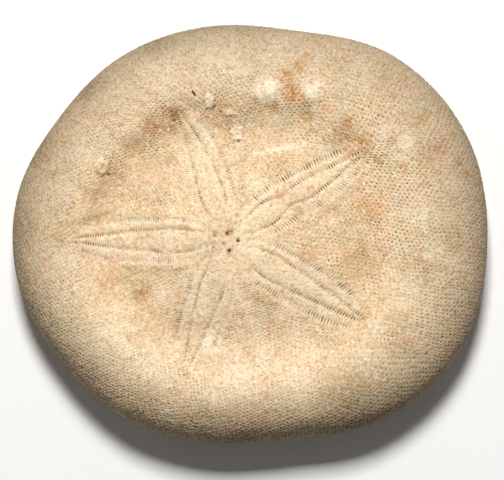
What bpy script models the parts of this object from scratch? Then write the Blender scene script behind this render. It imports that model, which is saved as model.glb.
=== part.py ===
# The dried test of a sand dollar: one closed shell with a swollen margin, a sunken
# upper side that carries five petals, and a flat underside with the mouth and the vent.
# Lengths are in metres. +Z is up, and +X points to the back end of the test.
# Inside this script the apex stands over x = y = 0, and the finished shell is moved at
# the end so that the middle of its box is there.

import math

import bmesh
import bpy

MM = 0.001

# Outline, as reaches from the apex at equal steps, anticlockwise from the back end.
OUTLINE_REACHES = [
    reach * MM
    for reach in (
        30.2, 30.4, 28.9, 25.7, 25.0, 24.7, 24.2, 24.9,
        24.7, 23.7, 23.7, 23.5, 24.1, 27.6, 29.9,
    )
]

# Upper side, as heights over shares of the reach.
UPPER_PROFILE = [
    (0.00, 9.30 * MM),
    (0.12, 9.22 * MM),
    (0.26, 8.80 * MM),
    (0.40, 8.16 * MM),
    (0.51, 7.76 * MM),
    (0.59, 7.94 * MM),
    (0.68, 8.70 * MM),
    (0.76, 9.00 * MM),
]
CREST_SHARE = 0.76
CREST_HEIGHT = 9.00 * MM
WIDEST_HEIGHT = 4.2 * MM
MARGIN_ROUNDNESS = 2.15

# Underside.
BASE_SHARE = 0.86
FLAT_SHARE = 0.62
MOUTH_RADIUS = 1.75 * MM
MOUTH_FIVE_SIDED = 0.08
MOUTH_LIP_HEIGHT = 0.95 * MM
MOUTH_DEPTH = 2.3 * MM
FOOD_GROOVE_DEPTH = 0.26 * MM
FOOD_GROOVE_LENGTH = 13.0 * MM
VENT_RADIUS = 1.1 * MM
VENT_DEPTH = 1.5 * MM
VENT_SHARE = 0.74

# Petals: direction in degrees from +X, and reach of the tip from the apex.
PETALS = [
    (34.0, 18.9 * MM),
    (109.0, 16.4 * MM),
    (179.3, 17.9 * MM),
    (251.5, 16.1 * MM),
    (329.8, 18.6 * MM),
]
PETAL_START = 1.75 * MM
INNER_ROW = [
    (0.00, 0.55 * MM),
    (0.10, 1.05 * MM),
    (0.24, 1.40 * MM),
    (0.42, 1.25 * MM),
    (0.62, 1.05 * MM),
    (0.80, 0.85 * MM),
    (1.00, 0.55 * MM),
]
OUTER_ROW = [
    (0.00, 1.00 * MM),
    (0.10, 2.00 * MM),
    (0.24, 2.36 * MM),
    (0.50, 2.44 * MM),
    (0.65, 2.30 * MM),
    (0.80, 1.95 * MM),
    (1.00, 1.20 * MM),
]
PETAL_BANK = 0.5 * MM
RAISED_MIDDLE = 0.16 * MM
INNER_FURROW = 0.12 * MM
OUTER_FURROW = 0.12 * MM
RELIEF_RISE = 3.0 * MM
TIP_FADE = 4.0 * MM
ROW_CROWDING = 0.86

# Two low knobs on the margin: place from the apex, radius and height.
KNOBS = [
    (4.8 * MM, 18.3 * MM, 1.9 * MM, 0.35 * MM),
    (9.9 * MM, 18.6 * MM, 1.9 * MM, 0.30 * MM),
]

# How finely the shell is divided.
PETAL_COLUMNS = 5
FREE_COLUMNS = 9
UPPER_RINGS = 19
UPPER_MARGIN_RINGS = 8
LOWER_MARGIN_RINGS = 5
FLAT_RINGS = 2
HOLLOW_RINGS = 6
MOUTH_RINGS = 4

SHELL_COLOUR = (0.66, 0.50, 0.32, 1.0)
SHELL_ROUGHNESS = 0.85

SECTOR_COLUMNS = 2 * PETAL_COLUMNS + FREE_COLUMNS + 1
SPOKES = SECTOR_COLUMNS * len(PETALS)
UPPER_ALL = UPPER_RINGS + UPPER_MARGIN_RINGS
LOWER_ALL = LOWER_MARGIN_RINGS + FLAT_RINGS + HOLLOW_RINGS + MOUTH_RINGS
RINGS = UPPER_ALL + LOWER_ALL


def clear_scene():
    for obj in list(bpy.data.objects):
        bpy.data.objects.remove(obj)


def smooth(share):
    """An S-shaped rise from 0 to 1 for a share from 0 to 1."""
    share = min(1.0, max(0.0, share))
    return share * share * (3.0 - 2.0 * share)


def hermite(before, start, end, after, share):
    """A smooth curve from start to end that also heeds the values on either side."""
    rise = 0.5 * (end - before)
    fall = 0.5 * (after - start)
    square, cube = share * share, share * share * share
    return (
        start * (2 * cube - 3 * square + 1)
        + rise * (cube - 2 * square + share)
        + end * (3 * square - 2 * cube)
        + fall * (cube - square)
    )


def along(points, place):
    """The value at a place on a curve through (place, value) points."""
    last = len(points) - 1
    if place <= points[0][0]:
        return points[0][1]
    if place >= points[last][0]:
        return points[last][1]
    left = max(i for i in range(last) if points[i][0] <= place)
    share = (place - points[left][0]) / (points[left + 1][0] - points[left][0])
    before = points[max(0, left - 1)][1]
    after = points[min(last, left + 2)][1]
    return hermite(before, points[left][1], points[left + 1][1], after, share)


def reach(angle):
    """How far the outline is from the apex in a direction."""
    count = len(OUTLINE_REACHES)
    place = (angle / math.tau * count) % count
    left = int(place)
    values = [OUTLINE_REACHES[(left + step) % count] for step in (-1, 0, 1, 2)]
    return hermite(*values, place - left)


def sector_span(sector):
    """The direction of a petal, and the angle from it to the next petal."""
    start = math.radians(PETALS[sector][0])
    end = math.radians(PETALS[(sector + 1) % len(PETALS)][0])
    return start, (end - start) % math.tau


def petal_share(petal, distance):
    """Where a distance from the apex lies between the petal's start and its tip."""
    tip = PETALS[petal][1]
    return (distance - PETAL_START) / (tip - PETAL_START)


def petal_lines(petal, distance):
    """Distances from the petal's middle line of its inner row, outer row and bank."""
    share = min(1.0, max(0.0, petal_share(petal, distance)))
    inner = along(INNER_ROW, share)
    outer = along(OUTER_ROW, share)
    return inner, outer, outer + PETAL_BANK


def upper_columns(petal, distance):
    """Distances from the petal's middle line of its columns, outwards."""
    inner, outer, bank = petal_lines(petal, distance)
    return [0.0, 0.6 * inner, inner, 0.5 * (inner + outer), outer, bank]


def lower_columns(petal, distance):
    """The same for the food groove under the petal: its bed, its sides and beyond."""
    return [0.0, 0.35 * MM, 0.75 * MM, 1.2 * MM, 1.8 * MM, 2.6 * MM]


def column_angle(columns, petal, column, distance, step, pattern_end):
    """The angle between a petal's middle line and one of its columns.

    It follows the pattern as far as the pattern goes, and then an even spread."""
    even = column * step
    across = columns(petal, distance)[column]
    crowded = ROW_CROWDING * even * SECTOR_COLUMNS / (2 * PETAL_COLUMNS)
    patterned = min(math.atan2(across, distance), crowded)
    loose = smooth((distance - pattern_end) / TIP_FADE)
    return patterned + (even - patterned) * loose


def spoke_angle(spoke, distance, columns, pattern_ends):
    """The direction of a spoke at a distance from the apex."""
    sector, column = divmod(spoke, SECTOR_COLUMNS)
    following = (sector + 1) % len(PETALS)
    start, span = sector_span(sector)
    step = span / SECTOR_COLUMNS

    def from_start(number):
        return column_angle(
            columns, sector, number, distance, step, pattern_ends[sector]
        )

    def from_end(number):
        return span - column_angle(
            columns, following, number, distance, step, pattern_ends[following]
        )

    if column <= PETAL_COLUMNS:
        return start + from_start(column)
    if column >= SECTOR_COLUMNS - PETAL_COLUMNS:
        return start + from_end(SECTOR_COLUMNS - column)
    low, high = from_start(PETAL_COLUMNS), from_end(PETAL_COLUMNS)
    share = (column - PETAL_COLUMNS) / (FREE_COLUMNS + 1)
    return start + low + (high - low) * share


def petal_relief(spoke, distance):
    """How far the petal's middle stands up, and its rows of pores sink in."""
    sector, column = divmod(spoke, SECTOR_COLUMNS)
    petal, out = sector, column
    if column > SECTOR_COLUMNS // 2:
        petal, out = (sector + 1) % len(PETALS), SECTOR_COLUMNS - column
    levels = [
        RAISED_MIDDLE,
        0.85 * RAISED_MIDDLE,
        -INNER_FURROW,
        0.25 * RAISED_MIDDLE,
        -OUTER_FURROW,
    ]
    if out >= len(levels):
        return 0.0
    tip = PETALS[petal][1]
    fade = smooth((distance - 0.5 * PETAL_START) / RELIEF_RISE)
    fade *= smooth((tip + 0.2 * TIP_FADE - distance) / TIP_FADE)
    return levels[out] * fade


def knob_relief(x, y):
    """The two low knobs on the margin."""
    height = 0.0
    for knob_x, knob_y, radius, rise in KNOBS:
        away = math.hypot(x - knob_x, y - knob_y)
        height += rise * (1.0 - smooth(away / radius))
    return height


def upper_point(ring, spoke):
    """A point of the upper side, from the apex, ring 0, to the widest ring."""
    if ring <= UPPER_RINGS:
        share = CREST_SHARE * ring / UPPER_RINGS
        height = along(UPPER_PROFILE, share)
    else:
        turn = math.radians(90.0 * (ring - UPPER_RINGS) / UPPER_MARGIN_RINGS)
        power = 2.0 / MARGIN_ROUNDNESS
        share = CREST_SHARE + (1.0 - CREST_SHARE) * math.sin(turn) ** power
        height = WIDEST_HEIGHT
        height += (CREST_HEIGHT - WIDEST_HEIGHT) * max(0.0, math.cos(turn)) ** power
    ends = [tip for _, tip in PETALS]
    rough = share * reach(spoke_angle(spoke, ends[0], upper_columns, ends))
    angle = spoke_angle(spoke, rough, upper_columns, ends)
    distance = share * reach(angle)
    x, y = distance * math.cos(angle), distance * math.sin(angle)
    if ring < UPPER_ALL - 2:
        height += petal_relief(spoke, distance) + knob_relief(x, y)
    return x, y, height


def mouth_edge(angle):
    """The mouth's rounded five-sided edge, with a corner under each petal."""
    front = math.radians(PETALS[2][0])
    return MOUTH_RADIUS * (1.0 + MOUTH_FIVE_SIDED * math.cos(5.0 * (angle - front)))


def lower_distance(share, angle):
    """A ring of the underside: round near the mouth, and like the outline outside."""
    inner, outer = mouth_edge(angle), reach(angle)
    first_share = MOUTH_RADIUS / outer
    spread = (share - first_share) / (1.0 - first_share)
    return inner + (outer - inner) * max(0.0, spread)


def lower_station(ring):
    """Share of the reach and height of a ring of the underside."""
    if ring <= LOWER_MARGIN_RINGS:
        turn = math.radians(90.0 * ring / LOWER_MARGIN_RINGS)
        share = BASE_SHARE + (1.0 - BASE_SHARE) * math.cos(turn)
        return share, WIDEST_HEIGHT * (1.0 - math.sin(turn))
    ring -= LOWER_MARGIN_RINGS
    if ring <= FLAT_RINGS:
        return BASE_SHARE + (FLAT_SHARE - BASE_SHARE) * ring / FLAT_RINGS, 0.0
    inwards = (ring - FLAT_RINGS) / HOLLOW_RINGS
    return FLAT_SHARE * (1.0 - inwards), MOUTH_LIP_HEIGHT * smooth(inwards)


def lower_point(ring, spoke):
    """A point of the underside, from the widest ring, ring 0, into the mouth."""
    ends = [FOOD_GROOVE_LENGTH] * len(PETALS)
    outside = LOWER_ALL - MOUTH_RINGS
    share, height = lower_station(min(ring, outside))
    even = spoke_angle(spoke, 2 * FOOD_GROOVE_LENGTH, lower_columns, ends)
    angle = spoke_angle(spoke, lower_distance(share, even), lower_columns, ends)
    distance = lower_distance(share, angle)
    if ring > outside:
        depth = (ring - outside) / MOUTH_RINGS
        distance *= math.cos(math.radians(90.0 * depth)) ** 0.45
        height += MOUTH_DEPTH * depth
    else:
        column = spoke % SECTOR_COLUMNS
        side = min(column, SECTOR_COLUMNS - column)
        fade = 1.0 - smooth(distance / FOOD_GROOVE_LENGTH)
        height += FOOD_GROOVE_DEPTH * fade * max(0.0, 1.0 - 0.5 * side)
    return distance * math.cos(angle), distance * math.sin(angle), height


def shell_mesh():
    """A globe whose rings and spokes are drawn out into the shell."""
    sculpted = bmesh.new()
    bmesh.ops.create_uvsphere(
        sculpted, u_segments=SPOKES, v_segments=RINGS, radius=1.0
    )
    for vert in sculpted.verts:
        from_top = math.acos(max(-1.0, min(1.0, vert.co.z)))
        ring = round(from_top / math.pi * RINGS)
        turn = math.atan2(vert.co.y, vert.co.x) % math.tau
        spoke = round(turn / math.tau * SPOKES) % SPOKES
        if ring <= UPPER_ALL:
            vert.co = upper_point(ring, spoke)
        elif ring < RINGS:
            vert.co = lower_point(ring - UPPER_ALL, spoke)
        else:
            vert.co = (0.0, 0.0, MOUTH_LIP_HEIGHT + MOUTH_DEPTH)
    bmesh.ops.recalc_face_normals(sculpted, faces=sculpted.faces)
    mesh = bpy.data.meshes.new("sand_dollar")
    sculpted.to_mesh(mesh)
    sculpted.free()
    mesh.shade_smooth()
    return mesh


def shell_material():
    material = bpy.data.materials.new("shell")
    material.use_nodes = True
    surface = material.node_tree.nodes["Principled BSDF"]
    surface.inputs["Base Color"].default_value = SHELL_COLOUR
    surface.inputs["Roughness"].default_value = SHELL_ROUGHNESS
    surface.inputs["Metallic"].default_value = 0.0
    return material


def add_vent_cutter(cutters, back):
    """A round-ended plug that sinks the vent into the underside near the back end."""
    plug = bmesh.new()
    bmesh.ops.create_uvsphere(plug, u_segments=20, v_segments=12, radius=1.0)
    for vert in plug.verts:
        vert.co.x *= VENT_RADIUS * 1.15
        vert.co.y *= VENT_RADIUS
        vert.co.z *= VENT_DEPTH
    mesh = bpy.data.meshes.new("vent_cutter")
    plug.to_mesh(mesh)
    plug.free()
    cutter = bpy.data.objects.new("vent_cutter", mesh)
    cutter.location = (back, 0.0, 0.0)
    cutter.hide_render = True
    cutter.display_type = "WIRE"
    cutters.objects.link(cutter)
    return cutter


def box_middle(mesh):
    xs = [vert.co.x for vert in mesh.vertices]
    ys = [vert.co.y for vert in mesh.vertices]
    return (min(xs) + max(xs)) / 2, (min(ys) + max(ys)) / 2


def build():
    clear_scene()
    parts = bpy.data.collections.new("sand_dollar_parts")
    cutters = bpy.data.collections.new("cutters")
    for collection in (parts, cutters):
        bpy.context.scene.collection.children.link(collection)
    shell = bpy.data.objects.new("sand_dollar", shell_mesh())
    shell.data.materials.append(shell_material())
    parts.objects.link(shell)
    cutter = add_vent_cutter(cutters, VENT_SHARE * reach(0.0))
    middle_x, middle_y = box_middle(shell.data)
    for obj in (shell, cutter):
        obj.location.x -= middle_x
        obj.location.y -= middle_y
    vent = shell.modifiers.new("vent", "BOOLEAN")
    vent.operation = "DIFFERENCE"
    vent.solver = "EXACT"
    vent.object = cutter


build()
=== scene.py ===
import math
import random

import bmesh
import bpy
from mathutils import Matrix, Vector, noise


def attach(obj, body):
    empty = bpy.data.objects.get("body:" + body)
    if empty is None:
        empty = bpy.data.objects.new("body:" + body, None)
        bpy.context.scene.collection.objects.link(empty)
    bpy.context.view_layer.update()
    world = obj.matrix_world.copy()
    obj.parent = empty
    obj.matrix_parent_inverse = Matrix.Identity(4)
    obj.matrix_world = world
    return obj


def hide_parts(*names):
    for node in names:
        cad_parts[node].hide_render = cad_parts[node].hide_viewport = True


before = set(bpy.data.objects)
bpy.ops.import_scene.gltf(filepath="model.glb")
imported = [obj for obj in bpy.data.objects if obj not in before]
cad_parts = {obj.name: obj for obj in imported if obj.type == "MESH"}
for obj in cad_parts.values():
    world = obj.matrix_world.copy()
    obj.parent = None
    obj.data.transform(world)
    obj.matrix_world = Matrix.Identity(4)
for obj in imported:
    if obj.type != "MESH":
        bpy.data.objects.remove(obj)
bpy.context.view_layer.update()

mm = 0.001

# Shape of the test. Reaches and places are in millimetres from the apex, x towards the back end
shape = {
    "reaches": [30.2, 30.4, 28.9, 25.7, 25.0, 24.7, 24.2, 24.9, 24.7, 23.7, 23.7, 23.5, 24.1, 27.6, 29.9],
    "upperProfile": [  # share of the reach, and height
        (0, 9.3), (0.12, 9.22), (0.26, 8.8), (0.4, 8.16), (0.51, 7.76), (0.59, 7.94), (0.68, 8.7),
        (0.76, 9.0),
    ],
    "meanReach": 27.0,
    "crestShare": 0.76,
    "footRise": (0.57, 0.07, 0.24),  # the margin's inner foot stands higher to the sides: share, width, height
    "widestHeight": 4.2,
    "roundness": 2.15,
    "crestRings": 0.71,  # share of the upper rings that lie inside the crest
    "upperDivisions": (11, 6, 3),
    "upperRings": 198,
    "lowerDivisions": (11, 16),
    "lowerRings": 176,
    "baseRings": 0.8,  # share of the lower rings that lie inside the wall
    "baseShare": 0.86,
    "baseHeight": 0.1,  # keeps the uneven base off the floor
    "flatShare": 0.62,
    "mouthRings": 4,
    "mouthRadius": 1.75,
    "mouthFiveSided": 0.08,
    "mouthLip": 0.95,
    "mouthDepth": 2.3,
    "mouthWall": (0.45, 1.05),  # shares of the mouth's radius between which it deepens
    "mouthStain": (0.8, 2.4),  # strength and reach
    "foodGrooveDepth": 0.36,
    "foodGrooveWidth": 0.5,
    "foodGrooveLength": 13.0,
    "ventRadius": 1.1,
    "ventLength": 1.15,  # its length by its breadth
    "ventDepth": 1.4,
    "ventWall": (0.5, 1.15),
    "ventStain": (0.5, 2.8),
    "ventShare": 0.74,
    "lumps": [(5.5, 0.10), (2.2, 0.05), (0.8, 0.026), (0.42, 0.036)],  # length and height of the waves
    "lumpFade": 0.06,  # they fade out over this share of the reach, so that the shells meet
    "apexReach": 1.9,  # the dark spots within this reach sink too
    "apexSink": 0.16,
    "grain": 0.011,  # how far single points stand up or sink at random, and how much more on the margin
    "rimGrain": 0.032,
}

# Direction and reach of the petals. Where there are two values, the first is for the anticlockwise side
petals = [
    {"turn": 34.5, "tip": 18.9, "bend": -1.5, "bendFrom": 7.0, "bendTo": 12.0,
     "pinch": 0.44, "wide": (0.92, 0.94), "ends": (17.4, 18.4), "bold": (1.0, 0.9)},
    {"turn": 107.4, "tip": 16.4, "bend": 3.2, "bendFrom": 8.0, "bendTo": 17.0,
     "pinch": 0.0, "wide": (0.84, 1.0), "ends": (13.6, 15.6), "bold": (0.7, 1.0)},
    {"turn": 179.3, "tip": 17.9, "bend": 0.4, "bendFrom": 9.0, "bendTo": 13.0,
     "pinch": 0.0, "wide": (0.96, 0.96), "ends": (17.2, 17.2), "bold": (0.85, 0.6)},
    {"turn": 252.0, "tip": 16.1, "bend": 0.0, "bendFrom": 9.0, "bendTo": 13.0,
     "pinch": 0.0, "wide": (1.0, 1.0), "ends": (14.0, 12.8), "bold": (0.8, 0.95)},
    {"turn": 329.8, "tip": 18.6, "bend": 0.0, "bendFrom": 9.0, "bendTo": 13.0,
     "pinch": 0.0, "wide": (1.0, 1.0), "ends": (17.8, 17.8), "bold": (0.95, 0.95)},
]

petalShape = {
    "start": 1.9,
    "innerRow": [  # share of the petal's length, and how far the row stands from its middle
        (0, 0.55), (0.1, 1.05), (0.26, 1.42), (0.42, 1.25), (0.6, 0.97), (0.75, 0.7), (0.87, 0.42), (1, 0.22),
    ],
    "outerRow": [
        (0, 1.0), (0.1, 1.95), (0.24, 2.34), (0.5, 2.36), (0.7, 2.15), (0.83, 1.7), (0.92, 1.2), (1, 0.8),
    ],
    "pinchPlace": 8.3,
    "pinchWidth": 1.4,
    "reliefFrom": (0.9, 3.4),
    "middleRise": 0.06,
    "sideRise": 0.03,  # rise between the rows, and its width
    "sideWidth": 0.5,
    "furrow": 0.05,
    "furrowWidth": 0.24,
    "poreDepth": 0.15,
    "poreBeside": 0.28,  # share of a pore's depth and darkness on the columns beside it
    "poreBold": (0.1, 0.85, 0.3),  # darkness: least, by the unevenness, and more between two distances
    "poreBoldFrom": (9, 12),
    "poreBrown": 0.6,
    "trailDepth": 0.3,  # line from pore to pore, as a share of their depth
    "trailBrown": 0.55,
    "trailEnd": (7, 12),
    "slitDepth": 0.12,
    "slitDark": 0.26,
    "slitBrown": 0.95,
    "ridgeHighlight": 0.55,
    "grooveBrown": 0.25,
    "slitRidge": 0.03,
    "slitReach": 2,  # columns that a slit runs to each side of its row
    "slitShades": (0.3, 0.7, 1.0, 0.95, 0.5),
    "slitLean": 0.10,  # how far a slit leans outwards for each column that it crosses
    "leanFrom": (3, 5),
    "leanPast": 1.5,  # the lean ends this far past the tip
    "leanFade": 4,  # and fades over this length before it
    "slitSettle": 8,  # columns over which the net settles back
    "poresFrom": (2.6, 4.6),  # the inner rows come in between these distances
    "slitsFrom": (3.8, 6.2),
    "uneven": (0.95, 0.3),  # mean and spread of the strength of single pores
    "wear": (0.62, 0.4),  # the pores are fresh in places and worn away in others: least, and how much more
    "wearSize": 1.1,
    "grooveDepth": 0.02,
    "tipFade": 2.0,
}

pitShape = {
    "depth": 0.15,
    "rim": 0.02,
    "jitter": 0.045,
    "rimJitter": 0.8,  # how much further the pits stray on the margin
    "sizes": (0.74, 1.08),
    "depths": (0.8, 1.2),
    "shades": (0.65, 1.15),
    "blackShare": 0.025,  # share of the pits with dirt in them
    "blacks": (0.4, 0.85),  # and how dark it is
    "patchy": (0.85, 0.5, 2.6),  # mean, spread and size of the patches where the pits are bolder or fainter
    "backExtra": 0.25,  # how much bolder they are towards the back end
    "backFrom": (8, 16),
    "petalSoft": 0.6,  # how much softer they are on petals
    "paleSoft": 0.5,  # and on pale places
    "rimSoft": 0.35,  # how much less brown they are on the margin
    # the blacker pits on the margin are painted shade
    "rimShadeBlack": 0.6,  # and how much blacker
    "rimShadeBlacks": (0.5, 1.2),
    "drift": 0.28,  # how far the net wanders, so that its rows don't run straight
    "driftSize": 2.4,
    "driftBeside": (0.5, 2.0),  # it sets in between these distances from a petal's outer row
    "driftFull": 6,
    "driftEnds": (0.2, 0.04),  # shares of the reach over which it fades out, outwards and along the margin
    "wander": 2.2,  # and how many rings it wanders up and down the margin
    "wanderFrom": 0.66,
    "wanderSize": 11,
    "lowerDepth": 0.14,
    "lowerJitter": 0.05,
}

knobs = [(4.65, 17.0, 1.9, 0.3), (9.75, 17.0, 1.9, 0.22)]  # x, y, radius, height
streaks = [  # ends, width, height and paleness of the raised streaks
    {"from": (3.3, 10.0), "to": (9.0, 11.0), "width": 0.62, "height": 0.09, "pale": 1.0},
    {"from": (-7.4, -1.3), "to": (-6.0, -1.35), "width": 0.2, "height": 0.12, "pale": 0.9},
    {"from": (-2.6, 19.6), "to": (-1.2, 19.9), "width": 0.3, "height": 0.05, "pale": 0.5},
]
# Low crusts that have grown onto the surface: x, y, half width, half depth, height, paleness and blueness
crusts = [
    (-2.03, 16.1, 0.55, 0.85, 0.28, 1.2, 0.4),
    (0.0, 14.75, 0.75, 0.36, 0.2, 0.6, 0.3),
    (1.16, 12.35, 0.8, 0.9, 0.22, 0.8, 0.1),
    (-14.3, 8.5, 0.85, 0.85, 0.24, 0.2, 0.0),
]

crustShape = {
    "edge": (0.8, 1.08),
    "frays": [(0.35, 1.7, 1), (0.2, 4.5, 2)],  # how far the edge strays, how often, and which pattern
    "uneven": (0.85, 0.5, 2.6, 3),  # mean and spread of the height, how often it changes, and which pattern
}

# offset is the height of the fine relief, and seed marks the vertex that a pit may take. The others are
# shares of colour: worn where the pits are faint, crest on the crown of the margin, rim for painted
# shade on its flank with some greyer tone. The brown and the black in the hollows, and the broad
# darkening, are partly dirt and partly painted shade
paintNames = (
    "offset", "seed", "pitDirtAndShade", "darkShadeAndDirt", "petal", "worn", "crest", "rim",
    "stain", "brown", "pale", "bluish", "dirtAndShade",
)


def smooth(share):
    share = min(1.0, max(0.0, share))
    return share * share * (3.0 - 2.0 * share)


def risen(distance, between):
    # 0 before the first distance, 1 past the second
    return smooth((distance - between[0]) / (between[1] - between[0]))


def sideOf(pair, side):
    return pair[0 if side > 0 else 1]


def hermite(before, start, end, after, share):
    rise, fall = 0.5 * (end - before), 0.5 * (after - start)
    square, cube = share * share, share ** 3
    return (
        start * (2 * cube - 3 * square + 1) + rise * (cube - 2 * square + share)
        + end * (3 * square - 2 * cube) + fall * (cube - square)
    )


def along(points, place):
    last = len(points) - 1
    if place <= points[0][0]:
        return points[0][1]
    if place >= points[last][0]:
        return points[last][1]
    left = max(i for i in range(last) if points[i][0] <= place)
    share = (place - points[left][0]) / (points[left + 1][0] - points[left][0])
    before, after = points[max(0, left - 1)][1], points[min(last, left + 2)][1]
    return hermite(before, points[left][1], points[left + 1][1], after, share)


def reachAt(angle):
    reaches = shape["reaches"]
    place = (angle / math.tau * len(reaches)) % len(reaches)
    left = int(place)
    return hermite(*[reaches[(left + step) % len(reaches)] for step in (-1, 0, 1, 2)], place - left)


def apexPlace():
    # the outline's box has its middle over the origin, as the solid's has
    rim = [(reachAt(math.radians(a)), math.radians(a)) for a in range(360)]
    xs = [reach * math.cos(a) for reach, a in rim]
    ys = [reach * math.sin(a) for reach, a in rim]
    return Vector((-(min(xs) + max(xs)) / 2, -(min(ys) + max(ys)) / 2, 0))


apex = apexPlace()


def marginCurve(steps=400):
    # length, share across and share down of the rounded margin, for even rings
    power = 2.0 / shape["roundness"]
    across = (1 - shape["crestShare"]) * shape["meanReach"]
    down = along(shape["upperProfile"], 1) - shape["widestHeight"]
    curve, length, before = [], 0.0, (0.0, 1.0)
    for i in range(steps + 1):
        turn = math.pi / 2 * i / steps
        point = (math.sin(turn) ** power, max(0.0, math.cos(turn)) ** power)
        length += math.hypot((point[0] - before[0]) * across, (point[1] - before[1]) * down)
        curve.append((length, *point))
        before = point
    return curve


margin = marginCurve()


def marginAt(share):
    goal = share * margin[-1][0]
    low, high = 0, len(margin) - 1
    while high - low > 1:
        middle = (low + high) // 2
        low, high = (middle, high) if margin[middle][0] <= goal else (low, middle)
    part = (goal - margin[low][0]) / (margin[high][0] - margin[low][0])
    return [margin[low][i] + (margin[high][i] - margin[low][i]) * part for i in (1, 2)]


def latticePlace(co, rings):
    # sector, ring and column of a vertex of the flat five-sided net, whose first corner is at +y
    fifth = math.tau / 5
    angle = math.atan2(-co.x, co.y) % math.tau
    sector = int(angle / fifth + 1e-5)
    off = angle - sector * fifth - fifth / 2
    ring = round(co.length * math.cos(off) / math.cos(fifth / 2) * rings)
    column = round((0.5 + math.tan(off) / (2 * math.tan(fifth / 2))) * ring)
    return sector % 5, ring, column


def netOfTriangles(divisions):
    # a five-sided cap, divided again and again into a net of small triangles
    bm = bmesh.new()
    bmesh.ops.create_circle(bm, cap_ends=True, cap_tris=True, segments=5, radius=1.0)
    for parts in divisions:
        bmesh.ops.subdivide_edges(bm, edges=bm.edges[:], cuts=parts - 1, use_grid_fill=True)
    return bm, {name: bm.verts.layers.float.new(name) for name in paintNames}


def petalAxis(petal, distance):
    part = (distance - petal["bendFrom"]) / (petal["bendTo"] - petal["bendFrom"])
    return math.radians(petal["turn"]) + math.radians(petal["bend"]) * smooth(part)


def petalShare(petal, distance):
    return (distance - petalShape["start"]) / (petal["tip"] - petalShape["start"])


def rowsAt(petal, side, distance):
    share = min(1.0, max(0.0, petalShare(petal, distance)))
    inner, outer = along(petalShape["innerRow"], share), along(petalShape["outerRow"], share)
    off = (distance - petalShape["pinchPlace"]) / petalShape["pinchWidth"]
    inner *= 1 - petal["pinch"] * math.exp(-off ** 2)
    return inner, max(inner + 0.3, outer * sideOf(petal["wide"], side))


def petalPlace(sector, ring, column, distance):
    # the nearer petal, the side of it, and how many columns lie between
    near = column if column * 2 <= ring else ring - column
    petal = petals[sector] if column * 2 <= ring else petals[(sector + 1) % 5]
    side = 1 if column * 2 <= ring else -1
    start = petalAxis(petals[sector], distance)
    span = (petalAxis(petals[(sector + 1) % 5], distance) - start) % math.tau
    step = span * max(0.01, distance) / max(1, ring)
    inner, outer = rowsAt(petal, side, distance)
    half = ring / 2
    innerColumn = max(1, round(inner / step)) if ring else 1
    outerColumn = max(innerColumn + 2, min(round(outer / step), int(half - 1.5)))
    return petal, side, near, step, inner, outer, innerColumn, outerColumn, half


def acrossAt(near, step, inner, outer, innerColumn, outerColumn, half, loose):
    # columns keep an even spread, but two of them run along the rows of pores
    even = near * step
    if half < innerColumn + 2:
        return even
    outer = min(outer, (half - 0.6) * step)
    knots = [(0, 0), (innerColumn, inner), (outerColumn, outer), (max(half, outerColumn + 1), half * step)]
    for (low, lowPlace), (high, highPlace) in zip(knots, knots[1:]):
        if near <= high:
            warped = lowPlace + (highPlace - lowPlace) * (near - low) / (high - low)
            return warped + (even - warped) * loose
    return even


def upperStation(ring):
    rings = shape["upperRings"]
    crestRing = shape["crestRings"] * rings
    if ring <= crestRing:
        share = shape["crestShare"] * ring / crestRing
        return share, along(shape["upperProfile"], share)
    out, down = marginAt((ring - crestRing) / (rings - crestRing))
    low, high = shape["widestHeight"], along(shape["upperProfile"], 1)
    return shape["crestShare"] + (1 - shape["crestShare"]) * out, low + (high - low) * down


def petalRelief(across, inner, outer, distance, tip):
    # the low swellings of a petal, and the furrows of its rows
    fade = risen(distance, petalShape["reliefFrom"]) * smooth((tip + 0.6 - distance) / petalShape["tipFade"])
    level = petalShape["middleRise"] * (1 - smooth(across / max(0.2, inner)) ** 2)
    for row in (inner, outer):
        level -= petalShape["furrow"] * math.exp(-((across - row) / petalShape["furrowWidth"]) ** 2)
    off = (across - 0.5 * (inner + outer)) / petalShape["sideWidth"]
    return (level + petalShape["sideRise"] * math.exp(-off ** 2)) * fade


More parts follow.
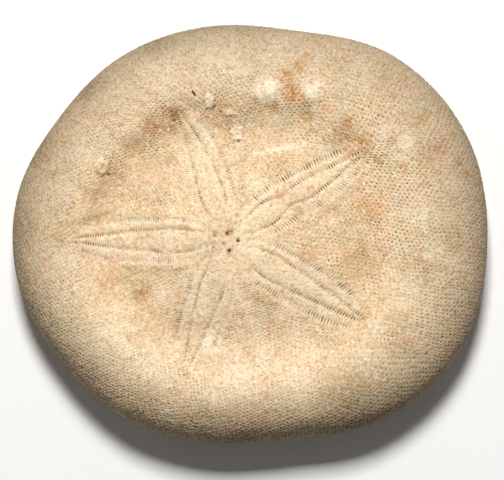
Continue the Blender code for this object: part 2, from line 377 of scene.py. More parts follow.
def poreAt(ring, near, innerColumn, outerColumn, distance, petal, half, side):
    # depth, darkness, brownness and paleness of the pore or slit at this vertex. The darkness is painted
    # shade in the hollow, the brownness partly dirt and partly painted shade, and the paleness a painted
    # highlight on the ridges between slits. No two are the same
    nothing = (0.0, 0.0, 0.0, 0.0)
    if not petalShape["start"] < distance < petal["tip"] or half < innerColumn + 3:
        return nothing
    poreFade = risen(distance, petalShape["poresFrom"]) * smooth((petal["tip"] - distance) / 0.8)
    end = sideOf(petal["ends"], side)
    slitFade = risen(distance, petalShape["slitsFrom"]) * smooth((end - distance) / 1.3)
    mean, spread = petalShape["uneven"]
    uneven = mean + spread * noise.cell(Vector((ring / 2 + 0.1, petal["turn"] + 0.1, side * 3 + 0.1)))
    uneven *= sideOf(petal["bold"], side)
    off = near - outerColumn
    inSlit = abs(off) <= petalShape["slitReach"]
    if ring % 2 and near == innerColumn:
        trail = petalShape["trailBrown"] * poreFade * (1 - risen(distance, petalShape["trailEnd"]))
        return petalShape["trailDepth"] * petalShape["poreDepth"] * poreFade, 0.0, trail, 0.0
    if ring % 2:
        ridge = (-petalShape["slitRidge"] * slitFade, 0.0, 0.0, petalShape["ridgeHighlight"] * slitFade)
        return ridge if inSlit else nothing
    if abs(near - innerColumn) <= 1:
        centre = 1.0 if near == innerColumn else petalShape["poreBeside"]
        least, byUneven, byDistance = petalShape["poreBold"]
        bold = min(1.1, least + byUneven * uneven + byDistance * risen(distance, petalShape["poreBoldFrom"]))
        depth = petalShape["poreDepth"] * poreFade * centre
        return depth, poreFade * bold * centre, petalShape["poreBrown"] * poreFade, 0.0
    if inSlit:
        shade = slitFade * uneven * petalShape["slitShades"][off + petalShape["slitReach"]]
        depth, dark, brown = (petalShape[part] * shade for part in ("slitDepth", "slitDark", "slitBrown"))
        return depth, dark, brown, 0.0
    if innerColumn < near < outerColumn:
        return petalShape["grooveDepth"] * slitFade, 0.0, petalShape["grooveBrown"] * slitFade, 0.0
    return nothing


def leanAt(near, outerColumn, distance, petal):
    # slits lean outwards, and the net beyond them settles back over a few columns
    reach = petalShape["slitReach"]
    steps = max(0, min(2 * reach + 1, near - outerColumn + reach))
    back = 1 - smooth((near - outerColumn - reach - 1) / petalShape["slitSettle"])
    left = petal["tip"] + petalShape["leanPast"] - distance
    ends = risen(distance, petalShape["leanFrom"]) * smooth(left / petalShape["leanFade"])
    return petalShape["slitLean"] * steps * back * ends


def streakAt(x, y):
    # height and paleness of the streak that crosses a place
    height = pale = 0.0
    for streak in streaks:
        start, end = Vector(streak["from"]), Vector(streak["to"])
        place, line = Vector((x, y)) - start, end - start
        if place.length > line.length + 1:
            continue
        part = min(1.0, max(0.0, place.dot(line) / line.length_squared))
        uneven = 0.5 * streak["width"] * noise.noise(Vector((x, y, 0)) * 1.7)
        near = 1 - smooth(((place - line * part).length + uneven) / streak["width"])
        height, pale = max(height, near * streak["height"]), max(pale, near * streak["pale"])
    return height, pale


def crustAt(x, y):
    # height, paleness and blueness of the crust on a place
    best = (0.0, 0.0, 0.0)
    for placeX, placeY, halfWidth, halfDepth, rise, pale, blue in crusts:
        away = math.hypot((x - placeX) / halfWidth, (y - placeY) / halfDepth)
        if away > 1.6:
            continue
        for fray, often, plane in crustShape["frays"]:
            away += fray * noise.noise(Vector((x, y, plane)) * often)
        near = 1 - risen(away, crustShape["edge"])
        mean, spread, often, plane = crustShape["uneven"]
        uneven = mean + spread * noise.noise(Vector((x, y, plane)) * often)
        best = max(best, (near * rise * uneven, near * pale, near * blue))
    return best


def lumpAt(point):
    return sum(
        height * noise.noise(Vector((point.x, point.y, point.z)) / wave + Vector((wave, 3.1, 7.7)))
        for wave, height in shape["lumps"]
    )


def lowerStation(ring):
    # share of the reach and height, from the middle of the mouth out to the widest ring
    place = ring / shape["lowerRings"]
    if place > shape["baseRings"]:
        turn = math.pi / 2 * (place - shape["baseRings"]) / (1 - shape["baseRings"])
        share = shape["baseShare"] + (1 - shape["baseShare"]) * math.sin(turn)
        low = shape["baseHeight"] * math.cos(turn)
        return share, low + (shape["widestHeight"] - low) * (1 - math.cos(turn))
    share = shape["baseShare"] * place / shape["baseRings"]
    lift = smooth(1 - share / shape["flatShare"])
    return share, shape["mouthLip"] * lift + shape["baseHeight"]


# Painted shade, with some greyer tone, on the flank of the margin. It is darker in some places than in others
paintedRimShade = {
    "from": 0.71,
    "power": 1.1,
    "turns": [  # direction, spread and strength
        (308, 17, 0.4), (270, 14, 0.24), (238, 10, -0.06), (160, 26, 0.2), (98, 36, 0.32), (20, 22, 0.12),
    ],
}


def rimShade(share, angle):
    shade = 1.0
    for turn, spread, extra in paintedRimShade["turns"]:
        off = (math.degrees(angle) - turn + 180) % 360 - 180
        shade += extra * math.exp(-(off / spread) ** 2)
    return shade * max(0.0, (share - paintedRimShade["from"]) / (1 - paintedRimShade["from"])) ** paintedRimShade["power"]


def markAll(verts, layer, places):
    for vert in verts:
        for x, y, radius, strength in places:
            away = math.hypot(vert.co.x - apex.x - x, vert.co.y - apex.y - y)
            if away < radius:
                vert[layer] = max(vert[layer], strength * (1 - smooth(away / radius)))


# Places of the marks on the upper side: x, y, radius and strength
marks = {
    "stain": [
        (-8.4, 13.2, 3.0, 0.55), (-10.5, 10.8, 2.4, 0.45), (-13.5, 7.8, 2.4, 0.45), (-15.7, 4.2, 2.6, 0.5),
        (-15.5, 2.3, 2.2, 0.6), (-12.9, -3.1, 2.4, 0.5), (-13.9, -4.9, 2.2, 0.55), (-10.1, -6.1, 1.5, 0.9),
        (-5.6, -11.0, 0.8, 0.8), (-1.34, 4.7, 0.8, 1.0), (6.3, 5.25, 1.2, 1.0), (5.2, 4.3, 1.0, 0.6),
        (7.4, 17.3, 1.5, 1.8), (7.3, 16.4, 1.3, 1.5), (8.5, 16.3, 1.1, 1.2), (6.9, 18.9, 1.4, 1.2),
        (8.3, 20.1, 1.4, 1.1), (9.4, 21.2, 1.3, 0.8), (14.0, 13.8, 1.2, 1.3), (15.6, 11.4, 1.9, 1.2),
        (17.6, 9.4, 0.9, 1.2), (9.2, 14.4, 1.3, 0.8), (5.4, 15.6, 1.2, 0.9), (14.0, 10.5, 1.2, 0.9),
        (18.9, 11.5, 1.0, 0.8), (20.1, 8.4, 1.0, 1.5), (22.8, 7.4, 0.9, 0.8), (24.5, 10.8, 1.4, 0.8),
        (22.1, 14.1, 1.9, 0.7), (26.5, 9.0, 1.1, 0.9), (27.3, 7.8, 1.1, 0.8), (16.8, 3.4, 2.6, 0.7),
        (14.3, -1.7, 2.2, 0.55), (11.4, 15.4, 1.6, 0.5), (13.5, 20.8, 1.6, 0.4), (9.0, -1.5, 1.6, 0.5),
        (2.6, -12.9, 1.5, 0.45), (0.6, 1.9, 0.9, 0.6),
    ],
    # brown stains; the marks at (5.4, 15.2) and (3.4, 15.9) are painted shadow along the lower edge of the
    # left knob
    "brown": [
        (-5.9, 14.5, 1.9, 1.1), (-6.3, 13.1, 1.7, 0.7), (-8.6, 13.4, 2.2, 0.5), (-11.4, 11.0, 2.2, 0.35),
        (-4.6, 15.6, 1.4, 0.4), (-7.2, 15.0, 1.6, 0.55), (-1.28, 0.87, 0.5, 0.3), (5.4, 15.2, 1.1, 0.6),
        (3.4, 15.9, 1.0, 0.4), (9.2, 14.9, 1.8, 0.45), (-1.0, 15.2, 2.6, 0.4), (3.0, 15.4, 2.4, 0.4),
        (13.2, 12.6, 2.2, 0.5), (-15.2, 5.6, 2.0, 0.4), (-10.1, -6.3, 1.4, 0.6), (10.5, 9.3, 2.2, 0.15),
        (-8.8, 8.4, 2.6, 0.15), (15.6, -8.2, 1.4, 0.35), (0.05, 0.95, 0.6, 1.4), (0.4, 1.2, 0.6, 1.2),
        (-0.37, -0.2, 0.4, 1.1), (0.4, -1.3, 0.6, 1.0), (1.4, 0.2, 0.5, 0.7),
    ],
    "pale": [
        (4.65, 17.3, 2.2, 2.2), (9.75, 17.4, 2.1, 1.3), (-1.0, 21.3, 4.6, 0.6), (-7.5, 19.8, 4.2, 0.55),
        (5.8, 22.4, 3.6, 0.5), (-13.2, -10.5, 4.6, 0.45), (-8.0, -13.5, 4.6, 0.5), (1.5, -15.0, 4.6, 0.55),
        (8.5, -15.5, 4.2, 0.45), (17.8, 12.8, 1.5, 0.7), (20.7, 11.5, 1.5, 0.6), (22.3, 3.0, 2.4, 0.6),
        (23.6, -1.0, 2.2, 0.6), (21.2, -4.4, 2.2, 0.4), (-3.4, 2.2, 1.5, 0.6), (-6.5, 0.2, 1.8, 0.5),
        (1.8, -13.6, 2.6, 0.7), (-3.6, -14.6, 2.4, 0.6), (5.8, -14.2, 2.6, 0.6), (9.6, -12.9, 2.2, 0.5),
        (-16.6, 10.4, 2.6, 0.4), (1.2, 11.4, 1.6, 0.5), (-3.1, 8.6, 1.5, 0.4), (13.4, 7.6, 1.6, 0.5),
        (17.2, -9.7, 1.6, 0.9), (-0.7, -3.6, 0.8, 0.7), (-17.8, -6.0, 2.6, 0.15), (-1.6, -17.8, 2.0, 0.7),
        (-11.9, -12.2, 2.6, 0.5), (2.9, -9.6, 3.6, 0.6), (-1.4, -11.9, 2.6, 1.1), (6.8, -8.9, 2.6, 0.45),
        (-6.4, -12.0, 3.0, 0.7), (3.8, -13.2, 3.4, 0.8), (2.0, -6.8, 2.0, 1.1), (-7.4, -6.2, 2.2, 0.8),
        (2.9, 6.8, 1.7, 0.8), (11.8, -6.8, 1.8, 0.6), (8.4, 8.0, 2.0, 0.5), (0.3, 7.4, 1.8, 0.6),
        (-5.6, 6.0, 2.4, 0.5), (-6.6, 3.2, 1.8, 0.5), (-3.9, -7.2, 2.4, 0.8), (0.4, 9.9, 2.0, 0.5),
        (0.7, 20.0, 3.0, 0.7),
    ],
    # broad darkening: partly a dirtier tone, partly painted shade in the trough and along the margin
    "dirtAndShade": [
        (13.6, -17.4, 5.4, 1.3), (19.5, -10.8, 4.2, 0.7), (16.0, -2.0, 4.0, 1.4), (22.0, -2.8, 3.8, 1.3),
        (22.4, 0.6, 2.6, 0.6), (11.0, 4.4, 3.6, 0.8), (-18.6, 1.3, 3.6, 0.9), (-13.6, 15.2, 3.0, 0.3),
        (-9.5, 10.6, 2.2, 0.7), (-13.0, 6.3, 2.2, 0.8), (0.4, 13.5, 2.8, 0.8), (-4.4, 11.8, 2.2, 0.7),
        (11.7, 11.3, 2.2, 0.5), (13.2, 1.0, 2.4, 0.7), (-2.6, 14.6, 2.2, 0.4), (8.4, 3.4, 2.6, 1.0),
        (4.4, 1.7, 1.2, 0.7), (14.4, 6.0, 2.4, 0.8), (-9.8, 0.7, 1.8, 0.8), (-8.2, 22.5, 3.0, 1.1),
        (-1.28, 0.87, 0.6, 1.6), (-16.2, 17.9, 3.0, 1.2), (-21.6, 10.5, 3.0, 1.2), (-23.2, 1.6, 2.6, 0.9),
        (23.0, 10.0, 3.0, 0.9), (2.5, -20.6, 3.6, 0.8), (-2.8, -20.4, 3.4, 0.9), (-9.8, -18.4, 3.0, 0.7),
        (26.0, 0.2, 2.4, 0.9), (18.4, 17.8, 3.2, 0.7), (9.8, -1.4, 2.6, 0.7),
    ],
    "bluish": [
        (7.7, 15.4, 1.2, 0.9), (17.8, 12.4, 1.3, 0.6), (10.5, 16.5, 1.1, 0.8), (-1.28, 0.87, 0.55, 1.0),
        (-4.6, -4.4, 1.8, 0.5), (4.4, 7.6, 1.6, 0.4), (-8.6, 2.6, 1.2, 0.4), (2.0, 13.9, 2.4, 0.5),
        (6.5, 13.4, 2.4, 0.4), (-14.6, 17.4, 2.6, 0.4), (0.13, -20.0, 0.5, 1.0), (15.5, 22.0, 2.2, 0.4),
        (23.9, 18.6, 2.4, 0.4), (-10.7, 2.4, 1.4, 0.35),
    ],
    "worn": [
        (-12.5, -5.5, 6.5, 0.6), (-13.5, 4.0, 5.0, 0.5), (-8.0, -10.0, 5.0, 0.5), (4.65, 17.3, 2.2, 0.6),
        (9.75, 17.4, 2.0, 0.5), (-1.5, 12.0, 4.0, 0.4), (5.0, 12.0, 4.0, 0.45), (-9.0, 7.5, 3.5, 0.4),
        (2.0, -14.5, 5.0, 0.4), (-10.6, 12.0, 2.4, 0.6), (-4.2, 16.5, 1.8, 0.6), (18.6, -6.5, 6.5, 0.45),
        (13.0, -14.5, 5.0, 0.4), (-16.4, 2.6, 2.2, 0.8), (-6.6, -3.1, 2.0, 0.7),
    ],
    # black spots: painted shade in the pores round the apex, painted shadow along the lower edges of the
    # crusts, and dark dirt
    "darkShadeAndDirt": [
        (-1.38, 0.66, 0.32, 0.8), (-1.12, 0.95, 0.42, 0.5), (-1.45, 1.05, 0.34, 0.5),
        (-0.02, 0.88, 0.4, 0.9), (0.26, 1.15, 0.3, 0.5), (1.28, 0.06, 0.36, 1.4), (0.29, -1.05, 0.36, 1.35),
        (-1.7, -0.95, 0.22, 0.9), (-1.56, -0.72, 0.22, 0.8), (-0.4, -0.2, 0.2, 0.5),
        (0.13, -20.0, 0.3, 0.6), (-1.45, 15.5, 0.4, 0.9), (-1.9, 15.1, 0.35, 0.5),
        (-0.65, 14.9, 0.35, 0.75), (0.45, 14.4, 0.35, 0.7), (1.3, 11.6, 0.4, 0.85), (0.85, 11.6, 0.35, 0.5),
        (0.3, 12.9, 0.38, 0.75), (-13.6, 7.7, 0.42, 0.9), (-14.1, 7.5, 0.35, 0.6),
    ],
}


def isSeed(sector, ring, column):
    # one vertex in seven, none beside another, carries a pit. The pattern turns from sector to sector
    first, second = 2 * 5 ** sector % 7, 2 * 5 ** (sector + 1) % 7
    return (first * (ring - column) + second * column) % 7 == 0


def sectorSpan(sector):
    # direction of a sector's first petal, and the angle to the next
    start = math.radians(petals[sector]["turn"])
    return start, (math.radians(petals[(sector + 1) % 5]["turn"]) - start) % math.tau


def shapeUpper():
    bm, layers = netOfTriangles(shape["upperDivisions"])
    rings = shape["upperRings"]
    for vert in bm.verts:
        sector, ring, column = latticePlace(vert.co, rings)
        wander = smooth((ring - pitShape["wanderFrom"] * rings) / 12) * smooth((rings - ring) / 14)
        wander *= pitShape["wander"] * noise.noise(vert.co * pitShape["wanderSize"])
        share, height = upperStation(ring + wander)
        start, span = sectorSpan(sector)
        distance = share * reachAt(start + span * column / max(1, ring))
        petal, side, near, step, inner, outer, innerColumn, outerColumn, half = petalPlace(
            sector, ring, column, distance)
        loose = smooth((distance - petal["tip"]) / petalShape["tipFade"])
        across = acrossAt(near, step, inner, outer, innerColumn, outerColumn, half, loose)
        axis = petalAxis(petal, distance)
        angle = axis + side * across / max(0.01, distance)
        distance = share * reachAt(angle)
        depth, dark, brown, light = poreAt(ring, near, innerColumn, outerColumn, distance, petal, half, side)
        foot, footWidth, footHeight = shape["footRise"]
        height += footHeight * math.sin(angle) ** 2 * math.exp(-((share - foot) / footWidth) ** 2)
        distance += leanAt(near, outerColumn, distance, petal)
        height += petalRelief(across, inner, outer, distance, petal["tip"])
        x, y = distance * math.cos(angle), distance * math.sin(angle)
        for knobX, knobY, radius, rise in knobs:
            height += rise * (1 - smooth(math.hypot(x - knobX, y - knobY) / radius))
        free = risen(across - outer, pitShape["driftBeside"]) if distance < petal["tip"] else 1.0
        drift = pitShape["drift"] * max(free, loose) * smooth(distance / pitShape["driftFull"])
        place = Vector((x, y, 0)) / pitShape["driftSize"]
        outEnd, asideEnd = pitShape["driftEnds"]
        out = drift * smooth((1 - share) / outEnd) * noise.noise(place)
        aside = drift * smooth((1 - share) / asideEnd) * noise.noise(place + Vector((9.2, 4.1, 2.3)))
        x += out * math.cos(angle) - aside * math.sin(angle)
        y += out * math.sin(angle) + aside * math.cos(angle)
        ridge, pale = streakAt(x, y)
        crust, crustPale, blue = crustAt(x, y)
        vert.co = apex + Vector((x, y, height))
        least, more = petalShape["wear"]
        wear = least + more * smooth(0.5 + 1.3 * noise.noise(vert.co / petalShape["wearSize"]))
        lump = lumpAt(vert.co) * smooth((1 - share) / shape["lumpFade"])
        vert[layers["offset"]] = lump - depth * (0.4 + 0.6 * wear) + ridge + crust
        # painted shade in the pores and slits
        vert[layers["darkShadeAndDirt"]] = dark * wear
        vert[layers["pitDirtAndShade"]] = brown * wear
        vert[layers["pale"]] = max(pale, light, crustPale)
        vert[layers["bluish"]] = blue
        end = sideOf(petal["ends"], side)
        fade = smooth((end + 0.4 - distance) / 2.2)
        vert[layers["petal"]] = fade * (1 - smooth((across - outer + 0.2) / 0.6))
        vert[layers["crest"]] = risen(share, (0.56, 0.72))
        # painted shade on the margin's flank
        vert[layers["rim"]] = rimShade(share, angle)
        # no pits on the rows, on the crusts and at the apex
        inSlits = innerColumn < near < outerColumn + petalShape["slitReach"] + 2 and distance < end - 0.1
        inPores = abs(near - innerColumn) < 2 and distance < petal["tip"] - 0.3
        inRows = (inSlits or inPores) and distance > petalShape["start"] - 0.5
        if isSeed(sector, ring, column) and not inRows and 9 < ring < rings - 1 and crust < 0.03:
            vert[layers["seed"]] = ring
    for name, places in marks.items():
        markAll(bm.verts, layers[name], places)
    for vert in bm.verts:
        if math.hypot(vert.co.x - apex.x, vert.co.y - apex.y) < shape["apexReach"]:
            vert[layers["offset"]] -= shape["apexSink"] * vert[layers["darkShadeAndDirt"]]
    return bm


def shapeLower():
    bm, layers = netOfTriangles(shape["lowerDivisions"])
    rings = shape["lowerRings"]
    front = math.radians(petals[2]["turn"])
    ventX = shape["ventShare"] * reachAt(0)
    for vert in bm.verts:
        sector, ring, column = latticePlace(vert.co, rings)
        share, height = lowerStation(ring)
        start, span = sectorSpan(sector)
        part = column / max(1, ring)
        angle = start + span * part
        mouthEdge = shape["mouthRadius"] * (1 + shape["mouthFiveSided"] * math.cos(5 * (angle - front)))
        mouthShare = shape["mouthRings"] / rings * shape["baseShare"] / shape["baseRings"]
        if share < mouthShare:
            distance = mouthEdge * share / mouthShare
        else:
            distance = mouthEdge + (share - mouthShare) / (1 - mouthShare) * (reachAt(angle) - mouthEdge)
        height += shape["mouthDepth"] * (1 - risen(distance / mouthEdge, shape["mouthWall"]))
        across = distance * abs(math.sin(span * min(part, 1 - part)))
        fade = smooth(1 - distance / shape["foodGrooveLength"]) * smooth(distance / mouthEdge - 0.8)
        height += shape["foodGrooveDepth"] * fade * math.exp(-(across / shape["foodGrooveWidth"]) ** 2)
        x, y = distance * math.cos(angle), distance * math.sin(angle)
        fromVent = math.hypot((x - ventX) / shape["ventLength"], y)
        height += shape["ventDepth"] * (1 - risen(fromVent / shape["ventRadius"], shape["ventWall"]))
        vert.co = apex + Vector((x, y, height))
        vert[layers["offset"]] = lumpAt(vert.co) * smooth((1 - share) / shape["lumpFade"]) * 0.5
        vert[layers["crest"]] = 1
        # painted shade on the lower flank, meeting the upper one at the widest ring
        vert[layers["rim"]] = smooth((share - 0.9) / 0.1) * rimShade(1.0, angle)
        inMouth = 1 - risen(distance / mouthEdge, (0.3, 1))
        inVent = 1 - smooth(fromVent / shape["ventRadius"])
        # the mouth and the vent are painted black, as painted shade inside the openings
        vert[layers["darkShadeAndDirt"]] = 0.8 * max(inMouth, inVent)
        # darker along the food grooves
        vert[layers["dirtAndShade"]] = 0.8 * fade * math.exp(-(across / shape["foodGrooveWidth"]) ** 2)
        stain = 0.0
        for key, away in (("mouthStain", distance - mouthEdge), ("ventStain", fromVent)):
            strength, reach = shape[key]
            stain += strength * (1 - smooth(away / reach))
        vert[layers["stain"]] = stain
        if isSeed(sector, ring, column) and 6 < ring < rings - 1 and fromVent > 1.5 * shape["ventRadius"]:
            vert[layers["seed"]] = ring
    return bm


def sinkPits(bm, layers, depth, jitter, draw):
    # each pit is one vertex sunk inside its ring of neighbours, and moves with that ring
    claimed = set()
    count = 0
    seeds = [vert for vert in bm.verts if vert[layers["seed"]]]
    for vert in sorted(seeds, key=lambda item: item[layers["seed"]]):
        ringVerts = [edge.other_vert(vert) for edge in vert.link_edges]
        if vert in claimed or any(other in claimed for other in ringVerts):
            continue
        claimed.update(ringVerts)
        claimed.add(vert)
        size = draw.uniform(*pitShape["sizes"])
        rim = vert[layers["rim"]]
        stray = jitter * (1 + pitShape["rimJitter"] * rim)
        shift = Vector([draw.uniform(-stray, stray) for axis in range(3)])
        shift -= vert.normal * shift.dot(vert.normal)
        for other in ringVerts:
            other.co = vert.co + (other.co - vert.co) * size + shift
            other[layers["offset"]] += pitShape["rim"]
        vert.co += shift
        soft = (1 - pitShape["petalSoft"] * vert[layers["petal"]]) * (1 - vert[layers["worn"]])
        soft *= 1 - pitShape["paleSoft"] * min(1.0, vert[layers["pale"]])
        mean, spread, patchSize = pitShape["patchy"]
        patchy = mean + spread * noise.noise(vert.co / patchSize)
        patchy += pitShape["backExtra"] * risen(vert.co.x, pitShape["backFrom"])
        vert[layers["offset"]] -= depth * size * soft * draw.uniform(*pitShape["depths"])
        # brown in the pit: partly dirt, partly painted shade in the hollow
        brown = soft * patchy * draw.uniform(*pitShape["shades"])
        vert[layers["pitDirtAndShade"]] = brown * (1 - pitShape["rimSoft"] * rim)
        black = draw.uniform(*pitShape["blacks"]) if draw.random() < pitShape["blackShare"] else 0.0
        # painted shade: pits on the margin's flank turn black as the painted shade of the flank deepens
        paintedRimBlack = pitShape["rimShadeBlack"] * rim * draw.uniform(*pitShape["rimShadeBlacks"])
        vert[layers["darkShadeAndDirt"]] = max(vert[layers["darkShadeAndDirt"]], black, paintedRimBlack)
        count += 1
    return count


def makePiece(name, bm):
    mesh = bpy.data.meshes.new(name)
    bm.to_mesh(mesh)
    bm.free()
    mesh.shade_smooth()
    obj = bpy.data.objects.new(name, mesh)
    bpy.context.scene.collection.objects.link(obj)
    print(name, "has", len(mesh.polygons), "faces")
    return obj


def makeShell(name, bm, depth, jitter):
    # one half of the test, with its pits, closed inside by a flat cap that nobody sees
    draw = random.Random(11)
    layers = {paint: bm.verts.layers.float[paint] for paint in paintNames}
    edges = [edge for edge in bm.edges if edge.is_boundary]
    rim = {vert for edge in edges for vert in edge.verts}
    for edge in edges:
        edge.smooth = False
    bmesh.ops.holes_fill(bm, edges=edges)
    bmesh.ops.recalc_face_normals(bm, faces=bm.faces)
    bm.normal_update()
    pits = sinkPits(bm, layers, depth, jitter, draw)
    for vert in bm.verts:
        if vert not in rim:
            grain = shape["grain"] + shape["rimGrain"] * vert[layers["rim"]]
            vert.co += vert.normal * (vert[layers["offset"]] + draw.uniform(-1, 1) * grain)
    bmesh.ops.scale(bm, vec=(mm, mm, mm), verts=bm.verts)
    bmesh.ops.triangulate(bm, faces=[face for face in bm.faces if len(face.verts) > 3])
    print(name, "has", pits, "pits")
    return makePiece(name, bm)


# Dark splinter of dirt that lies on the surface
splinter = {
    "place": (-3.8, 17.05),
    "length": 0.62,
    "radius": 0.115,
    "taper": 0.7,
    "bevel": 0.02,
    "tilt": 88.0,
    "turn": -48.0,
    "rise": 0.8,  # share of the radius by which its middle stands above the surface
}


def spotOn(shell, x, y):
    # the point of the surface at a place, in millimetres
    spot = shell.ray_cast(Vector((apex.x + x, apex.y + y, 20)) * mm, Vector((0, 0, -1)))[1]
    return spot / mm


def makeSplinter(shell):
    radius = splinter["radius"]
    bm = bmesh.new()
    bmesh.ops.create_cone(bm, cap_ends=True, segments=10, radius1=radius, radius2=radius * splinter["taper"],
                          depth=splinter["length"])
    sharp = [edge for edge in bm.edges if len(edge.link_faces) == 2 and edge.calc_face_angle() > 1]
    bmesh.ops.bevel(bm, geom=sharp, offset=splinter["bevel"], segments=2, profile=0.5, affect="EDGES",
                    material=-1)
    for turn, axis in ((splinter["tilt"], "Y"), (splinter["turn"], "Z")):
        bmesh.ops.rotate(bm, matrix=Matrix.Rotation(math.radians(turn), 3, axis), verts=bm.verts)
    spot = spotOn(shell, *splinter["place"])
    bmesh.ops.translate(bm, vec=spot + Vector((0, 0, radius * splinter["rise"])), verts=bm.verts)
    bmesh.ops.recalc_face_normals(bm, faces=bm.faces)
    bmesh.ops.scale(bm, vec=(mm, mm, mm), verts=bm.verts)
    return makePiece("darkSplinter", bm)


colours = {
    "cream": (0.80, 0.60, 0.36),
    "warm": (0.66, 0.44, 0.235),
    "crest": (0.75, 0.575, 0.36),
    "pink": (0.80, 0.54, 0.37),
    "olive": (0.62, 0.51, 0.29),
    "pale": (0.93, 0.80, 0.59),
    "bluish": (0.56, 0.52, 0.42),
    "blueGrey": (0.66, 0.585, 0.43),
    "orange": (0.57, 0.275, 0.09),
    "brown": (0.36, 0.18, 0.06),
    "pitDirtShadeBrown": (0.18, 0.09, 0.038),
    "pitDirtShadeOrange": (0.36, 0.13, 0.035),
    "blackForShadeAndDirt": (0.06, 0.03, 0.012),
    "splinter": (0.012, 0.010, 0.009),
    # the next three darken what lies under them: the first is partly dirt and partly painted shade,
    # the last is painted shade on the margin's flank, with some greyer tone
    "dirtAndShade": (0.78, 0.74, 0.66),
    "darkGrain": (0.62, 0.55, 0.46),
    "rim": (0.41, 0.405, 0.395),
}


class Nodes:
    # a short hand for a material's node tree
    def __init__(self, name):
        self.material = bpy.data.materials.new(name)
        self.material.use_nodes = True
        self.tree = self.material.node_tree
        self.shader = self.tree.nodes["Principled BSDF"]

    def add(self, kind, inputs=None, **settings):
        node = self.tree.nodes.new(kind)
        for key, value in settings.items():
            setattr(node, key, value)
        for key, value in (inputs or {}).items():
            if isinstance(value, bpy.types.NodeSocket):
                self.tree.links.new(value, node.inputs[key])
            else:
                node.inputs[key].default_value = value
        return node

    def attribute(self, name):
        return self.add("ShaderNodeAttribute", attribute_name=name).outputs["Fac"]

    def noise(self, size, detail=3.0, rough=0.55, low=0.35, high=0.65):
        # size is the pattern's size in millimetres
        place = self.add("ShaderNodeTexCoord").outputs["Object"]
        texture = self.add("ShaderNodeTexNoise", {
            "Vector": place, "Scale": 1000 / size, "Detail": detail, "Roughness": rough,
        })
        return self.between(texture.outputs["Fac"], low, high)

    def between(self, value, low, high):
        ranged = self.add("ShaderNodeMapRange", {"Value": value, "From Min": low, "From Max": high},
                          interpolation_type="SMOOTHSTEP")
        return ranged.outputs["Result"]

    def math(self, operation, first, second):
        return self.add("ShaderNodeMath", {0: first, 1: second}, operation=operation).outputs[0]

    def mix(self, share, first, second, blend="MIX"):
        node = self.add("ShaderNodeMix", data_type="RGBA", blend_type=blend)
        for socket, value in ((node.inputs[0], share), (node.inputs[6], first), (node.inputs[7], second)):
            if isinstance(value, bpy.types.NodeSocket):
                self.tree.links.new(value, socket)
            else:
                socket.default_value = (*value, 1) if isinstance(value, tuple) else value
        return node.outputs[2]


# Strengths of the layers of colour, weathering and painted shade alike
weatheringAndShade = {
    "petal": 0.22,
    "crest": 0.85,
    "rim": 0.79,
    "dirtAndShade": 0.9,
    "pale": 0.75,
    "bluish": 0.6,
    "stain": 0.85,
    "brown": 0.95,
    "speck": 0.5,
    "pink": 0.6,
    "olive": 0.5,
    "blueGrey": 0.4,
    "darkGrain": 0.72,
    "lightGrain": 0.5,
    "pitDirtAndShade": 1.0,
    "darkShadeAndDirt": 0.92,
}


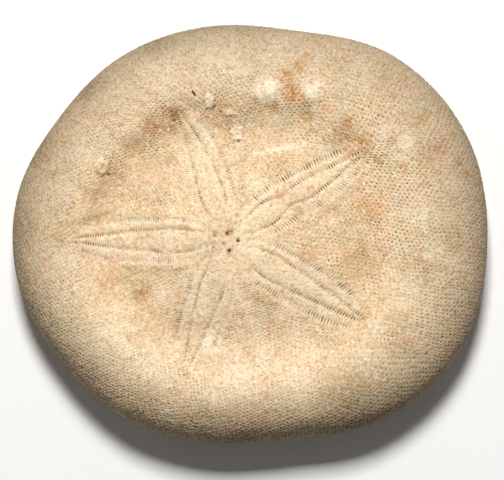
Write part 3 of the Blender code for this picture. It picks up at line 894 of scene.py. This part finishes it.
def shellMaterial():
    nodes = Nodes("weatheredLime")

    def layer(base, name, colour, attribute=None, pattern=None, blend="MIX"):
        share = weatheringAndShade[name]
        for part in (attribute and nodes.attribute(attribute), pattern):
            if part:
                share = nodes.math("MULTIPLY", part, share)
        return nodes.mix(share, base, colour, blend)

    base = nodes.mix(nodes.noise(6.0, 4.0), colours["cream"], colours["warm"])
    base = layer(base, "crest", colours["crest"], "crest")
    base = layer(base, "pink", colours["pink"], pattern=nodes.noise(2.3, 2.0, 0.5, 0.48, 0.68))
    base = layer(base, "olive", colours["olive"], pattern=nodes.noise(3.1, 2.0, 0.5, 0.5, 0.7))
    base = layer(base, "blueGrey", colours["blueGrey"], pattern=nodes.noise(2.0, 3.0, 0.55, 0.52, 0.68))
    base = layer(base, "petal", colours["pale"], "petal")
    # broad darkening: partly dirt, partly painted shade
    base = layer(base, "dirtAndShade", colours["dirtAndShade"], "dirtAndShade", nodes.noise(1.5, 4.0, 0.6, 0.2, 0.5), "MULTIPLY")
    base = layer(base, "pale", colours["pale"], "pale", nodes.noise(0.9, 4.0, 0.6, 0.3, 0.55))
    base = layer(base, "bluish", colours["bluish"], "bluish", nodes.noise(0.8, 4.0, 0.6, 0.3, 0.6))
    base = layer(base, "speck", colours["orange"], pattern=nodes.noise(1.1, 4.0, 0.6, 0.55, 0.72))
    base = layer(base, "stain", colours["orange"], "stain", nodes.noise(0.7, 5.0, 0.65, 0.3, 0.58))
    base = layer(base, "brown", colours["brown"], "brown", nodes.noise(0.6, 5.0, 0.65, 0.25, 0.55))
    fineGrain = nodes.noise(0.34, 2.0, 0.6, 0.45, 0.68)
    base = layer(base, "darkGrain", colours["darkGrain"], None, fineGrain, "MULTIPLY")
    base = layer(base, "lightGrain", colours["pale"], pattern=nodes.noise(0.4, 2.0, 0.6, 0.5, 0.7))
    # painted shade over the margin's flank, with some greyer tone
    base = layer(base, "rim", colours["rim"], "rim", nodes.noise(1.3, 5.0, 0.6, -0.2, 0.45), "MULTIPLY")
    # brown in the pits, pores and slits: partly dirt, partly painted shade
    pitDirtShadeColour = nodes.mix(nodes.attribute("stain"), colours["pitDirtShadeBrown"], colours["pitDirtShadeOrange"])
    base = layer(base, "pitDirtAndShade", pitDirtShadeColour, pattern=nodes.between(nodes.attribute("pitDirtAndShade"), 0.15, 0.95))
    # black: painted shade in holes, slits and the margin's pits, painted shadow under the crusts, and dirt in
    # some pits
    base = layer(base, "darkShadeAndDirt", colours["blackForShadeAndDirt"], pattern=nodes.between(nodes.attribute("darkShadeAndDirt"), 0.2, 0.9))
    nodes.tree.links.new(base, nodes.shader.inputs["Base Color"])
    roughness = nodes.add("ShaderNodeMapRange", {
        "Value": nodes.noise(0.5, 3.0), "To Min": 0.72, "To Max": 0.95,
    })
    nodes.tree.links.new(roughness.outputs["Result"], nodes.shader.inputs["Roughness"])
    grain = nodes.noise(0.16, 4.0, 0.6, 0.2, 0.8)
    bump = nodes.add("ShaderNodeBump", {"Height": grain, "Strength": 0.9, "Distance": 0.04 * mm})
    nodes.tree.links.new(bump.outputs["Normal"], nodes.shader.inputs["Normal"])
    nodes.shader.inputs["Specular IOR Level"].default_value = 0.3
    return nodes.material


def splinterMaterial():
    nodes = Nodes("darkBark")
    base = nodes.mix(nodes.noise(0.12, 3.0), colours["splinter"], colours["brown"])
    nodes.tree.links.new(nodes.mix(0.25, colours["splinter"], base), nodes.shader.inputs["Base Color"])
    nodes.shader.inputs["Roughness"].default_value = 0.7
    return nodes.material


studio = {
    "floorColour": (0.80, 0.79, 0.77),
    "worldStrength": 0.14,
    "lightPower": 4.95,
    "lightSize": 0.14,
    "lightDistance": 0.6,
    "lightHeightAngle": 54.0,
    "lightAside": -0.03,
    "frameWidth": 58.55,  # millimetres across the picture
    "framePixels": 504,
    "frameShift": (2, -5.5),  # pixels, as the box of the test isn't quite in the picture's middle
    "lens": 220.0,
    "aimHeight": 4.5,
    "floorSize": 0.6,
}


def makeFloor():
    bm = bmesh.new()
    bmesh.ops.create_grid(bm, x_segments=1, y_segments=1, size=studio["floorSize"])
    floor = makePiece("floor", bm)
    nodes = Nodes("paleFloor")
    nodes.shader.inputs["Base Color"].default_value = (*studio["floorColour"], 1)
    nodes.shader.inputs["Roughness"].default_value = 0.9
    floor.data.materials.append(nodes.material)


def makeLight():
    light = bpy.data.lights.new("topWindow", "AREA")
    light.energy = studio["lightPower"]
    light.size = studio["lightSize"]
    lamp = bpy.data.objects.new("topWindow", light)
    height = math.radians(studio["lightHeightAngle"])
    direction = Vector((studio["lightAside"], math.cos(height), math.sin(height)))
    lamp.location = direction * studio["lightDistance"]
    lamp.rotation_euler = (-lamp.location).to_track_quat("-Z", "Y").to_euler()
    bpy.context.scene.collection.objects.link(lamp)
    world = bpy.data.worlds.new("softRoom")
    world.use_nodes = True
    background = world.node_tree.nodes["Background"]
    background.inputs["Color"].default_value = (1, 1, 1, 1)
    background.inputs["Strength"].default_value = studio["worldStrength"]
    bpy.context.scene.world = world


def makeCamera():
    data = bpy.data.cameras.new("camera")
    data.lens = studio["lens"]
    data.clip_end = 10
    camera = bpy.data.objects.new("camera", data)
    distance = studio["frameWidth"] * mm * studio["lens"] / data.sensor_width
    pixel = studio["frameWidth"] * mm / studio["framePixels"]
    right, up = studio["frameShift"]
    camera.location = (right * pixel, up * pixel, distance + studio["aimHeight"] * mm)
    bpy.context.scene.collection.objects.link(camera)
    bpy.context.scene.camera = camera


bpy.context.scene.view_settings.view_transform = "Standard"
makeCamera()
makeLight()
makeFloor()
print("stage ready")

upperShell = makeShell("upperShell", shapeUpper(), pitShape["depth"], pitShape["jitter"])
lowerShell = makeShell("lowerShell", shapeLower(), pitShape["lowerDepth"], pitShape["lowerJitter"])
bpy.context.view_layer.update()
shellLook = shellMaterial()
pieces = [(upperShell, shellLook), (lowerShell, shellLook)]
pieces.append((makeSplinter(upperShell), splinterMaterial()))
for piece, look in pieces:
    piece.data.materials.append(look)
    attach(piece, "root")
for piece in (upperShell, lowerShell):
    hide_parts("sand_dollar")
print("test dressed")
